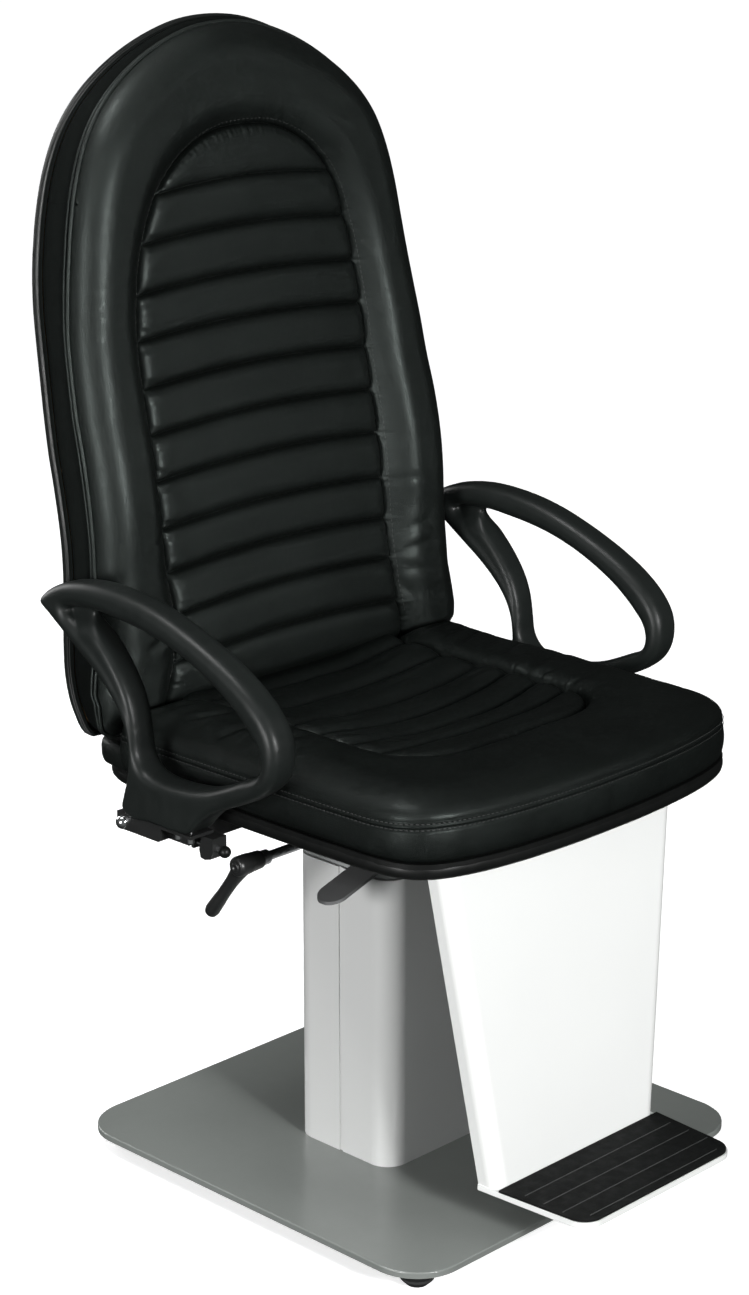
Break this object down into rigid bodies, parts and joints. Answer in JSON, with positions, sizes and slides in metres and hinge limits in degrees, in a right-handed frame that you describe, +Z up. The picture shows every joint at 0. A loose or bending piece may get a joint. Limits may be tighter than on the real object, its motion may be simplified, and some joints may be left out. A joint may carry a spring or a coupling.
{
  "type": "ophthalmic examination chair",
  "caption": "Motor-lifted swivel examination chair with a square floor plate, box column, padded seat, reclining ribbed back, loop armrests that fold back, leg panel and footplate",
  "frame": {"origin": "on the floor under the middle of the chair's bounding box; the lifting column's axis is 21.5 mm behind it", "axes": "+Z up, -Y the way the sitter faces, +X the sitter's left"},
  "size_m": [0.6392, 0.683, 1.232],
  "materials": {
    "arm_foam": "self-skinned polyurethane foam, fine grain, soft sheen",
    "black_leather": "soft artificial leather, fine grain",
    "black_plastic": "fine moulded grain",
    "black_rubber": "ribbed sheet",
    "brass_contact": "bright",
    "brass_nut": "turned bronze",
    "bright_steel": "ground",
    "cast_alloy": "bead-blasted casting",
    "chrome": "polished",
    "foot_plastic": "moulded glass-filled plastic",
    "guide_plastic": "machined slippery plastic",
    "handle_metal": "blackened casting",
    "lever_metal": "satin dark grey paint",
    "painted_black": "satin black paint",
    "painted_grey": "satin textured powder coat",
    "painted_white": "smooth satin powder coat",
    "plywood": "birch plywood",
    "satin_steel": "brushed, dull",
    "shell_plastic": "moulded, light grain",
    "zinc_steel": "bright zinc plate"
  },
  "bodies": {
    "base": {"base_plate": "painted_grey", "column_outer": "painted_white", "column_screws": "zinc_steel", "guide_pads_fixed": "guide_plastic", "lift_gear_motor": "cast_alloy", "lift_control_unit": "black_plastic", "power_inlet": "black_plastic", "inlet_pins": "brass_contact"},
    "foot_front_right_body": {"foot_front_right": "foot_plastic"},
    "foot_front_left_body": {"foot_front_left": "foot_plastic"},
    "foot_rear_right_body": {"foot_rear_right": "foot_plastic"},
    "foot_rear_left_body": {"foot_rear_left": "foot_plastic"},
    "lift_spindle": {"lift_screw": "bright_steel"},
    "carriage": {"column_inner": "painted_white", "column_cap_plate": "satin_steel", "guide_pads_sliding": "guide_plastic", "push_tube": "bright_steel", "lift_nut": "brass_nut", "swivel_post": "bright_steel", "thrust_washer": "guide_plastic", "swivel_retaining_plate": "zinc_steel", "retaining_screw": "zinc_steel"},
    "seat": {"swivel_bush": "brass_nut", "swivel_hub": "painted_black", "seat_crossbars": "painted_black", "arm_outriggers": "painted_black", "seat_rails": "painted_black", "seat_pan": "black_plastic", "seat_board": "plywood", "seat_cushion": "black_leather", "leg_panel": "painted_white", "footplate": "painted_white", "footplate_tread": "black_rubber", "footplate_brackets": "painted_black", "frame_screws": "zinc_steel", "frame_brackets": "painted_black", "hinge_pins": "zinc_steel", "arm_hinge_blocks": "painted_black", "arm_pivot_bolts": "chrome", "arm_latches": "painted_black"},
    "swivel_lock_screw": {"lock_screw": "zinc_steel"},
    "swivel_lock_handle": {"lock_handle": "handle_metal"},
    "recline_paddle": {"recline_lever": "lever_metal"},
    "gas_cylinder": {"gas_spring_cylinder": "painted_black", "gas_spring_head": "cast_alloy"},
    "gas_rod": {"gas_spring_rod": "chrome"},
    "backrest": {"back_shell": "shell_plastic", "back_board": "plywood", "back_cushion": "black_leather", "recline_plates": "painted_black"},
    "armrest_left": {"arm_pad_left": "arm_foam", "arm_channel_left": "painted_black", "arm_screws_left": "chrome"},
    "latch_plunger_left": {"arm_plunger_left": "chrome", "arm_plunger_knob_left": "black_plastic"},
    "armrest_right": {"arm_pad_right": "arm_foam", "arm_channel_right": "painted_black", "arm_screws_right": "chrome"},
    "latch_plunger_right": {"arm_plunger_right": "chrome", "arm_plunger_knob_right": "black_plastic"}
  },
  "joints": [
    {"name": "foot_front_right_turn", "type": "hinge", "parent": "base", "child": "foot_front_right_body", "pos_m": [-0.229, -0.2075, 0.02], "axis": [0, 0, 1], "continuous": true},
    {"name": "foot_front_left_turn", "type": "hinge", "parent": "base", "child": "foot_front_left_body", "pos_m": [0.229, -0.2075, 0.02], "axis": [0, 0, 1], "continuous": true},
    {"name": "foot_rear_right_turn", "type": "hinge", "parent": "base", "child": "foot_rear_right_body", "pos_m": [-0.229, 0.2505, 0.02], "axis": [0, 0, 1], "continuous": true},
    {"name": "foot_rear_left_turn", "type": "hinge", "parent": "base", "child": "foot_rear_left_body", "pos_m": [0.229, 0.2505, 0.02], "axis": [0, 0, 1], "continuous": true},
    {"name": "column_lift", "type": "slide", "parent": "base", "child": "carriage", "axis": [0, 0, 1], "range_m": [0, 0.2]},
    {"name": "lift_screw_turn", "type": "hinge", "parent": "base", "child": "lift_spindle", "pos_m": [0, 0.0215, 0.1], "axis": [0, 0, 1], "range_deg": [0, 7210]},
    {"name": "seat_swivel", "type": "hinge", "parent": "carriage", "child": "seat", "pos_m": [0, 0.0215, 0.4], "axis": [0, 0, 1], "continuous": true},
    {"name": "swivel_lock_turn", "type": "hinge", "parent": "seat", "child": "swivel_lock_screw", "pos_m": [-0.1, 0.0275, 0.4], "axis": [-1, 0, 0], "range_deg": [0, 80]},
    {"name": "lock_handle_pull", "type": "slide", "parent": "swivel_lock_screw", "child": "swivel_lock_handle", "axis": [-1, 0, 0], "range_m": [0, 0.005], "stiffness_N_per_m": 1500},
    {"name": "recline_paddle_lift", "type": "hinge", "parent": "seat", "child": "recline_paddle", "pos_m": [0.02, -0.039, 0.401], "axis": [0, 1, 0], "range_deg": [0, 3.5], "stiffness_Nm_per_rad": 20, "springref_deg": -2.86},
    {"name": "backrest_recline", "type": "hinge", "parent": "seat", "child": "backrest", "pos_m": [0, 0.2595, 0.43], "axis": [-1, 0, 0], "range_deg": [0, 25]},
    {"name": "gas_cylinder_swing", "type": "hinge", "parent": "seat", "child": "gas_cylinder", "pos_m": [0.0715, -0.0235, 0.394], "axis": [1, 0, 0], "range_deg": [0, 1.14]},
    {"name": "gas_rod_slide", "type": "slide", "parent": "gas_cylinder", "child": "gas_rod", "axis": [0, -0.9998, 0.0217], "range_m": [0, 0.0178]},
    {"name": "armrest_left_fold", "type": "hinge", "parent": "seat", "child": "armrest_left", "pos_m": [0.297, 0.1395, 0.436], "axis": [-1, 0, 0], "range_deg": [0, 90]},
    {"name": "latch_plunger_left_pull", "type": "slide", "parent": "seat", "child": "latch_plunger_left", "axis": [0, -1, 0], "range_m": [0, 0.006], "stiffness_N_per_m": 800, "springref_m": -0.001},
    {"name": "armrest_right_fold", "type": "hinge", "parent": "seat", "child": "armrest_right", "pos_m": [-0.297, 0.1395, 0.436], "axis": [-1, 0, 0], "range_deg": [0, 90]},
    {"name": "latch_plunger_right_pull", "type": "slide", "parent": "seat", "child": "latch_plunger_right", "axis": [0, -1, 0], "range_m": [0, 0.006], "stiffness_N_per_m": 800, "springref_m": -0.001}
  ],
  "couplings": [
    {"joint": "lift_screw_turn", "follows": "column_lift", "rad_per_m": 628.32},
    {"joint": "gas_cylinder_swing", "follows": "backrest_recline", "ratio": 0.045114},
    {"joint": "gas_rod_slide", "follows": "backrest_recline", "m_per_rad": 0.040379}
  ]
}
